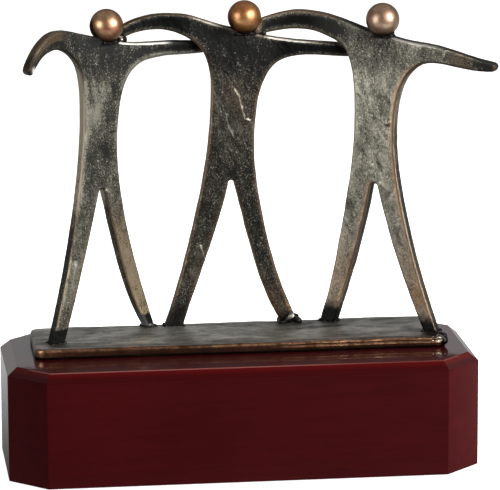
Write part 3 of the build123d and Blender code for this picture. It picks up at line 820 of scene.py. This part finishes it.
def base_plate():
    """The strip under the figures, with hammer dents, creases and a burred front edge."""
    piece = remeshed("base_plate", "base_plate_forged", FINE_FACES)
    mesh = piece.data
    points, normals = points_of(mesh), normals_of(mesh)
    x, y, z = points.T
    top = smooth(0.5, 0.9, normals[:, 2])
    front = smooth(0.3, 0.8, -normals[:, 1])
    dents = layered_noise(points, (26, 13, 40), 61, 2)
    crease = ridges(points, (48, 15, 40), 67)
    fine = layered_noise(points, (4.5, 3.0, 4), 71, 3)
    low, _ = box_of("base_plate")
    from_left, from_front = x - low[0], y - low[1]
    right_half = smooth(8, 30, x)
    lip = np.exp(-(((from_front - 1.4) / 0.8) ** 2)) * top
    groove = np.exp(-(((from_front - 2.7) / 0.6) ** 2)) * top * right_half
    second = np.exp(-(((from_front - 4.0) / 0.7) ** 2)) * top * right_half
    height = (0.34 * dents + 0.16 * crease + 0.04 * fine) * (1 - 0.6 * lip)
    height += 0.22 * lip - 0.35 * groove + 0.22 * second
    split = np.exp(-(((z - PLATE_TOP + 1.45) / 0.35) ** 2)) * right_half
    burr = np.exp(-(((z - PLATE_TOP + 2.15) / 0.38) ** 2)) * right_half
    edge_wave = 0.28 * layered_noise(points, (13, 30, 30), 73, 3) + 0.05 * fine
    edge_wave += (0.26 * burr - 0.38 * split) * front
    moved = np.where(normals[:, 2] < -0.5, 0, height * top + edge_wave * (1 - top))
    swell(mesh, moved)
    worn = 0.55 + 0.9 * layered_noise(points, (5, 30, 30), 79, 3)
    line = np.exp(-(((z - PLATE_TOP + 0.7) / 0.45) ** 2)) * smooth(1.6, 0.9, from_front)
    # Painted highlight on the rounded front left corner, carried in the copper attribute.
    corner = np.exp(-((from_left - 1.6) ** 2 + (from_front - 1.6) ** 2) / 2.2) * (1 - top)
    copper = line * np.clip(worn * (0.5 + 0.6 * smooth(-45, 20, x)), 0, 1)
    copper += 0.3 * second * np.clip(worn + 0.2, 0, 1) + corner
    copper += 0.8 * burr * front * np.clip(worn + 0.1, 0, 1)
    heel = np.exp(-(((x + 80.5) / 5.5) ** 2) - ((y + 4.5) / 3.0) ** 2)
    toe = np.exp(-(((x - 83.5) / 5.5) ** 2) - ((y + 9.5) / 6.5) ** 2)
    # Painted contact shadow: the plate turns black up to 1.6 mm above the wood.
    contact_shadow = 0.95 * smooth(WOOD_TOP + 1.6, WOOD_TOP + 0.8, z)
    store(mesh, sheet=points, relief=height + 0.3 * fine)
    edge_brown = 0.3 * smooth(13, 2, from_front) + 0.12 * smooth(-60, 10, x)
    brown = front + 0.6 * (1 - top) + edge_brown
    store(mesh, brown=np.clip(brown, 0, 1), copper=np.clip(copper, 0, 1))
    # Painted shade on the top: patches at both ends and in a hollow, and darker towards the right.
    hollow = np.exp(-(((x + 47 - 0.9 * y) / 8) ** 2) - ((y - 4) / 7) ** 2)
    shaded = heel * 0.6 + toe * 0.95 + 0.10 * smooth(30, 75, x) + 0.30 * hollow
    store(mesh, soot=np.clip(contact_shadow + shaded * top, 0, 1))
    assign(piece, plate_metal())


# ---------------- heads
def antiqued_bronze(name, warm, dull):
    """Polished ball whose bronze has gone darker and greyer in soft patches."""
    s = Shader(name)
    cloud = s.noise(190, 3.0, 0.6, 0.6)
    fleck = s.noise(1500, 3.0, 0.6)
    turned = s.noise((500, 500, 2600), 2.0, 0.5)
    value = s.uneven(0.5, (cloud, 2.4), (fleck, 0.7))
    # Painted shade: the top of the ball turns duller and darker.
    value = s.weighted(value, (s.attribute("crown"), -0.22))
    colour = s.ramp(value, (0.2, dull), (0.75, warm))
    # Soot at the braze and painted shade, mixed in as near black.
    soot = s.attribute("soot")
    colour = s.mix(soot, colour, (0.012, 0.008, 0.006))
    return s.surface(
        Base_Color=colour,
        Metallic=1.0,
        Roughness=s.span(value, 0.25, 0.8, 0.46, 0.39),
        Specular_Tint=(0.35, 0.22, 0.16),
        Coat_Weight=s.span(soot, 0.0, 1.0, 0.85, 0.05),
        Coat_Roughness=0.21,
        Normal=s.bump(s.weighted(0.0, (turned, 0.4), (fleck, 0.6)), 0.05, 0.5),
    )


def head(figure, seed, warm, dull, rim):
    """A ball head: a fine sphere with the faint dents of tumbling, sooty where it is brazed.
    The black underneath is that soot and painted shade, and the top is painted darker as shade.

    rim is how much painted shade darkens its left side."""
    node = figure + "_head"
    low, high = box_of(node)
    centre = (low + high) / 2
    radius = (high[0] - low[0]) / 2
    work = bmesh.new()
    add_ball(work, centre, radius, subdivisions=6)
    mesh = mesh_from(work, node + "_ball")
    mesh.polygons.foreach_set("use_smooth", [True] * len(mesh.polygons))
    points, normals = points_of(mesh), normals_of(mesh)
    dents = 0.035 * layered_noise(points, 4, seed, 3)
    swell(mesh, dents)
    ragged = 0.8 * layered_noise(points, 1.5, seed + 5, 3)
    below = (centre[2] - points[:, 2]) / radius
    # Soot at the braze and painted shade: black underneath, and on the left side as much as rim sets; the
    # top is painted darker as shade.
    leftward = normals @ np.array((-0.98, -0.05, -0.18)) + 0.05 * ragged
    soot = 0.92 * smooth(0.58, 0.96, below + 0.12 * ragged) + rim * smooth(0.66, 0.90, leftward)
    store(mesh, soot=np.clip(soot, 0, 1), crown=smooth(0.0, -0.7, below))
    piece = new_piece(node + "_ball", mesh, node)
    assign(piece, antiqued_bronze(node + "_bronze", warm, dull))
    return piece


# ---------------- welds
def weld_metal():
    """Dark braze and weld metal with small lighter bits, and painted highlights where it is marked
    bright.
    """
    s = Shader("weld_bead")
    lumps = s.noise(900, 3.0, 0.6)
    grit = s.noise(3200, 2.0, 0.6)
    colour = s.ramp(
        lumps,
        (0.42, (0.006, 0.0055, 0.005)),
        (0.62, (0.022, 0.019, 0.016)),
        (0.78, (0.22, 0.19, 0.15)),
    )
    # Painted highlight: pale metal where the bright attribute is set.
    bare = s.ramp(lumps, (0.35, (0.10, 0.09, 0.07)), (0.6, (0.62, 0.58, 0.49)))
    colour = s.mix(s.attribute("bright"), colour, bare)
    return s.surface(
        Base_Color=colour,
        Metallic=0.8,
        Roughness=s.span(grit, 0.3, 0.7, 0.22, 0.48),
        Normal=s.bump(s.weighted(0.0, (lumps, 0.6), (grit, 0.4)), 0.25, 0.8),
    )


def fused_drops(node, drops, seed, material, bright=None):
    """One bead: overlapping drops of metal, (x, y, z, radius) in millimetres, melted together.

    bright is the centre and radius of a painted highlight."""
    work = bmesh.new()
    for x, y, z, radius in drops:
        add_ball(work, (x, y, z), radius, subdivisions=3)
    name = node + "_bead"
    mesh = even_copy(mesh_from(work, name), name, BEAD_FACES)
    points = points_of(mesh)
    swell(mesh, 0.11 * layered_noise(points, 1.6, seed, 3))
    if bright is not None:
        gap = np.linalg.norm(points - np.array(bright[:3]), axis=1)
        store(mesh, bright=smooth(bright[3] + 0.3, bright[3] - 0.3, gap))
    assign(new_piece(name, mesh, node), material)


def foot_weld(figure_name, foot, seed, material, proud=1.0, run=(), bright=None):
    """Beads around the foot of a leg, uneven along it, and the drops that ran off from it."""
    node = f"{figure_name}_{foot}_foot_weld"
    figure = FIGURES[figure_name]
    along, front = sheet_axes(figure)
    sheet, _ = sheet_coordinates(points_of(nodes[node].data), figure)
    beside = sheet[np.abs(sheet[:, 2]) < SHEET_HALF + 0.9]
    left, right = beside[:, 0].min() + 1.5, beside[:, 0].max() - 1.5
    outline = []
    for u in np.linspace(left, right, 9):
        outline += [(u, SHEET_HALF + 0.1), (u, -SHEET_HALF - 0.1)]
    for depth in np.linspace(SHEET_HALF, -SHEET_HALF, 5):
        outline += [(left - 0.1, depth), (right + 0.1, depth)]
    rng = np.random.default_rng(seed)
    drops = []
    for u, depth in outline:
        radius = proud * rng.uniform(0.45, 0.95)
        x, y = figure["place"] + (along * (u + rng.uniform(-0.3, 0.3)) + front * depth)[:2]
        drops.append((x, y, PLATE_TOP + rng.uniform(-0.1, 0.35) * proud, radius))
    fused_drops(node, [*drops, *run], seed, material, bright)


def corner_run():
    """Weld metal that ran from the rightmost foot to the front right corner of the plate."""
    low, high = box_of("base_plate")
    corner = (high[0], low[1])
    rng = np.random.default_rng(271)
    drops = []
    for share in np.linspace(0, 1, 9):
        x = corner[0] - 5.2 + 2.9 * share
        y = corner[1] + 10.5 - 8.6 * share
        drops.append((x + rng.uniform(-0.4, 0.4), y, PLATE_TOP - 0.4, rng.uniform(1.6, 2.2)))
    drops.append((corner[0] - 1.4, corner[1] + 2.1, PLATE_TOP - 1.7, 2.2))
    drops.append((corner[0] - 1.3, corner[1] + 2.9, PLATE_TOP - 0.4, 1.9))
    for _ in range(9):
        shift = rng.uniform((-1.7, -0.5, -1.4), (1.1, 1.2, 0.9))
        middle = np.array((corner[0] - 4.6, corner[1] + 1.1, PLATE_TOP - 0.9))
        drops.append((*(middle + shift), rng.uniform(0.6, 1.1)))
    return drops


def foot_lump():
    """Weld metal heaped against the front of the middle figure's right foot."""
    heap = ((0.5, 1.5), (1.7, 1.7), (2.8, 1.9), (2.3, 1.9), (0.8, 1.7))
    first = FIGURES["middle_figure"]["place"][0] + 23.2
    front = FIGURES["middle_figure"]["place"][1] - SHEET_HALF - 0.5
    return [(first + 1.4 * i, front, PLATE_TOP + up, size) for i, (up, size) in enumerate(heap)]


def joint_weld(node, seed, material, size=1.15, glinting=False):
    """A few small drops where one figure's hand is joined to the next figure."""
    centre = sum(box_of(node)) / 2
    rng = np.random.default_rng(seed)
    drops = [(*centre, size * 1.25)]
    for _ in range(6):
        shift = rng.uniform(-1.25, 1.25, 3)
        drops.append((*(centre + shift), size * rng.uniform(0.55, 0.95)))
    bright = None
    # Two more drops, and a painted highlight on the front of the bead.
    if glinting:
        drops.append((*(centre + np.array((-1.9, 0.3, -0.6))), 0.9 * size))
        drops.append((*(centre + np.array((1.5, -0.3, -0.7))), 0.7 * size))
        bright = (*(centre + np.array((-0.4, -1.5, 0.2))), 1.2)
    fused_drops(node, drops, seed, material, bright)


def neck_braze(node, seed, material):
    """The thin collar of braze under a head, drawn in close and uneven."""
    piece = remeshed(node, node + "_bead", voxel=0.2)
    normals = normals_of(piece.data)
    drops = np.abs(layered_noise(points_of(piece.data), 2.2, seed, 2))
    outward = smooth(0.2, 0.8, np.hypot(normals[:, 0], normals[:, 1]))
    swell(piece.data, 0.25 * (0.2 - drops) - 0.75 * outward)
    assign(piece, material)


# ---------------- felt pad and screws
def felt():
    """Short black felt: matt matted fibres, lighter where they stand up."""
    s = Shader("black_felt")
    fibre_a = s.noise((600, 6000, 3000), 3.0, 0.6, 0.8, turn=20)
    fibre_b = s.noise((6000, 700, 3000), 3.0, 0.6, 0.8, turn=-12)
    fluff = s.math("MAXIMUM", fibre_a, fibre_b)
    patches = s.noise(60, 3.0, 0.6)
    value = s.weighted(0.0, (fluff, 0.75), (patches, 0.35))
    return s.surface(
        Base_Color=s.ramp(value, (0.35, (0.006, 0.006, 0.007)), (0.8, (0.045, 0.045, 0.050))),
        Roughness=0.95,
        Sheen_Weight=0.6,
        Sheen_Roughness=0.5,
        Sheen_Tint=(0.5, 0.5, 0.55),
        Normal=s.bump(fluff, 0.3, 0.9),
    )


def felt_pad():
    """The pad under the base: soft rolled edge, slight quilted unevenness of glued felt."""
    piece = remeshed("felt_pad", "felt_pad_cloth", voxel=0.6)
    mesh = piece.data
    points, normals = points_of(mesh), normals_of(mesh)
    uneven = 0.05 * layered_noise(points, 11, 91, 3)
    nap = 0.05 * layered_noise(points, 1.4, 93, 2)
    side = smooth(0.8, 0.3, np.abs(normals[:, 2]))
    pulled = -0.12 + uneven + nap - 0.1 * side
    swell(mesh, np.minimum(pulled, -0.01))
    assign(piece, felt())


def screw_steel():
    """Zinc-plated steel with fine turning marks and a little dulling."""
    s = Shader("zinc_steel")
    turned = s.noise((300, 300, 6000), 2.0, 0.5)
    dull = s.noise(500, 3.0, 0.6)
    return s.surface(
        Base_Color=s.ramp(dull, (0.3, (0.36, 0.37, 0.38)), (0.7, (0.60, 0.60, 0.58))),
        Metallic=1.0,
        Roughness=s.span(dull, 0.3, 0.7, 0.22, 0.40),
        Normal=s.bump(turned, 0.03, 0.6),
    )


def finish_fasteners():
    """Screws and washers keep their CAD shape."""
    steel = screw_steel()
    for node in ("plate_screws", "screw_washers"):
        assign(nodes[node], steel)


# ---------------- stage, light and camera
def stage_piece(name, corners):
    """A flat piece of the stage with its corners in metres."""
    work = bmesh.new()
    work.faces.new([work.verts.new(c) for c in corners])
    piece = in_scene(name, mesh_from(work, name))
    return piece


def stage_floor():
    """Plain pale floor. It looks white to the camera and gives a graded, dimmer reflection."""
    half = 8.0
    floor = stage_piece("floor", [(-half, -half, 0), (half, -half, 0), (half, half, 0), (-half, half, 0)])
    s = Shader("pale_floor")
    lit = s.node("BsdfDiffuse", Color=(0.9, 0.9, 0.9))
    glow = s.node("Emission", Color=(1, 1, 1), Strength=0.86)
    seen = s.node("AddShader")
    s.set_input(seen.inputs[0], lit.outputs[0])
    s.set_input(seen.inputs[1], glow.outputs[0])
    x, y, _ = s.axes(s.place())
    far = s.span(y, -0.10, 0.42, 0.005, 0.85)
    right = s.span(x, -0.2, 0.6, 0.0, 0.13)
    mirrored = s.node("Emission", Strength=s.math("ADD", far, right))
    assign(floor, s.end_by_ray("Is Camera Ray", seen, mirrored))


def reflected_card():
    """A low white card behind the trophy that only shows in glossy reflections.

    A dark band along its middle keeps the wood in front of the plate from mirroring it."""
    half, back, foot, top = 1.5, 0.30, 0.001, 0.40
    corners = [(-half, back, foot), (half, back, foot), (half, back, top), (-half, back, top)]
    card = stage_piece("card", corners)
    s = Shader("white_card")
    x, _, z = s.axes(s.place())
    upward = s.span(z, 0.220, 0.340, 0.42, 0.10)
    above_foot, below_top = s.span(z, 0.1295, 0.1315), s.span(z, 0.1335, 0.1360, 1.0, 0.0)
    from_middle = s.math("ABSOLUTE", s.math("SUBTRACT", x, 0.0145))
    band = s.product(above_foot, below_top, s.span(from_middle, 0.131, 0.140, 1.0, 0.0))
    glow = s.node("Emission", Strength=s.product(upward, s.math("SUBTRACT", 1.0, s.product(band, 0.93))))
    assign(card, s.end_by_ray("Is Glossy Ray", glow, s.node("BsdfTransparent")))


def surroundings():
    """A white sweep behind the trophy that falls off to a dark studio in front of it."""
    s = Shader("studio", world=True)
    _, y, z = s.axes(s.node("TexCoord").outputs["Generated"])
    sweep = s.span(y, -0.3, 1.0, 0.02, 0.50)
    ceiling = s.span(z, 0.3, 0.9, 1.0, 0.15, kind="LINEAR")
    soft = s.node("Background", Strength=s.product(sweep, ceiling))
    white = s.node("Background", Color=(1, 1, 1), Strength=1.0)
    bpy.context.scene.world = s.end_by_ray("Is Camera Ray", white, soft)


def area_light(name, size, power):
    """A rectangular light with its size in metres and its power in watts."""
    light = bpy.data.lights.new(name, "AREA")
    light.shape = "RECTANGLE"
    light.size, light.size_y = size
    light.energy = power
    return in_scene(name, light)


def bearing(azimuth, elevation):
    """Unit vector from the trophy to a place round it. Azimuth 0 is straight in front."""
    a, e = math.radians(azimuth), math.radians(elevation)
    return Vector((math.sin(a) * math.cos(e), -math.cos(a) * math.cos(e), math.sin(e)))


def softbox(name, azimuth, elevation, size, power):
    """A soft light aimed at the trophy."""
    target, distance = Vector((0, 0, 0.11)), 1.25
    away = bearing(azimuth, elevation)
    box = area_light(name, size, power)
    box.location = target + away * distance
    box.rotation_euler = away.to_track_quat("Z", "Y").to_euler()
    return box


def split_softbox(name, *settings):
    """A softbox that lights the wooden base without being mirrored in its lacquer.

    It is two lights in one place: one for everything else, and one for the wood alone."""
    on_the_rest = softbox(name, *settings)
    on_wood = softbox(name + "_on_wood", *settings)
    on_wood.visible_glossy = False
    for box, state in ((on_the_rest, "EXCLUDE"), (on_wood, "INCLUDE")):
        linked = bpy.data.collections.new(box.name + "_link")
        linked.objects.link(nodes["wood_base"])
        linked.collection_objects[0].light_linking.link_state = state
        box.light_linking.receiver_collection = linked


def head_cards(heads):
    """Two level white cards, one below and one above, that light the heads alone."""
    heads_only = bpy.data.collections.new("heads_only")
    for piece in heads:
        heads_only.objects.link(piece)
    below = area_light("card_below", (0.9, 0.20), 0.60)
    below.location = (0, -0.20, 0.055)
    below.rotation_euler = (math.pi, 0, 0)
    above = area_light("card_above", (1.2, 0.8), 1.0)
    above.location = (0, 0.10, 0.75)
    for card in (below, above):
        card.light_linking.receiver_collection = heads_only


def camera():
    """Long-lens view from a little to the left and 12 degrees above."""
    target, distance = Vector((5.742, 0, 93.16)) * MM, 1558.1 * MM
    back = bearing(-6.985, 11.998)
    level = back.to_track_quat("Z", "Y").to_matrix().to_4x4()
    roll = Matrix.Rotation(math.radians(-0.279), 4, "Z")
    lens = bpy.data.cameras.new("camera")
    lens.sensor_width = 36.0
    lens.lens = 263.43
    lens.clip_start = 0.05
    lens.clip_end = 60.0
    eye = in_scene("camera", lens)
    eye.matrix_world = Matrix.Translation(target + back * distance) @ level @ roll
    bpy.context.scene.camera = eye


def build():
    """Builds every visible piece, the stage, the lights and the camera."""
    finish_wood_base()
    felt_pad()
    finish_fasteners()
    base_plate()
    left_figure()
    middle_figure()
    right_figure()
    heads = [
        head("left", 101, (0.53, 0.33, 0.175), (0.37, 0.165, 0.085), 0.95),
        head("middle", 107, (0.62, 0.345, 0.14), (0.43, 0.165, 0.05), 0.75),
        head("right", 113, (0.54, 0.385, 0.25), (0.37, 0.215, 0.145), 0.15),
    ]
    bead = weld_metal()
    foot_weld("left_figure", "left", 201, bead, 0.8)
    foot_weld("left_figure", "right", 207, bead, 0.9)
    foot_weld("middle_figure", "left", 213, bead, 0.8)
    lump = foot_lump()
    # A painted highlight on top of the heap.
    lump_glint = (lump[2][0] - 0.6, lump[2][1] - 1.4, lump[2][2] + 1.0, 1.5)
    foot_weld("middle_figure", "right", 219, bead, 1.5, lump, lump_glint)
    foot_weld("right_figure", "left", 227, bead, 0.8)
    low, high = box_of("base_plate")
    # A painted highlight on the weld metal at the plate's front right corner.
    bare = (high[0] - 4.6, low[1] + 0.6, PLATE_TOP - 0.7, 2.5)
    foot_weld("right_figure", "right", 233, bead, 1.0, corner_run(), bare)
    joint_weld("left_shoulder_weld", 241, bead, 1.25, glinting=True)
    joint_weld("middle_shoulder_weld", 247, bead, 0.9)
    joint_weld("left_arm_weld", 253, bead)
    joint_weld("middle_arm_weld", 259, bead)
    for index, figure_name in enumerate(("left", "middle", "right")):
        neck_braze(figure_name + "_neck_braze", 263 + 6 * index, bead)
    stage_floor()
    reflected_card()
    surroundings()
    split_softbox("softbox_left", -58, 13, (0.65, 0.75), 8)
    split_softbox("softbox_right", 45, 25, (0.85, 0.85), 21)
    softbox("side_fill", 80, 30, (0.7, 0.7), 22).visible_glossy = False
    head_cards(heads)
    camera()
    bpy.context.scene.view_settings.view_transform = "Standard"


build()
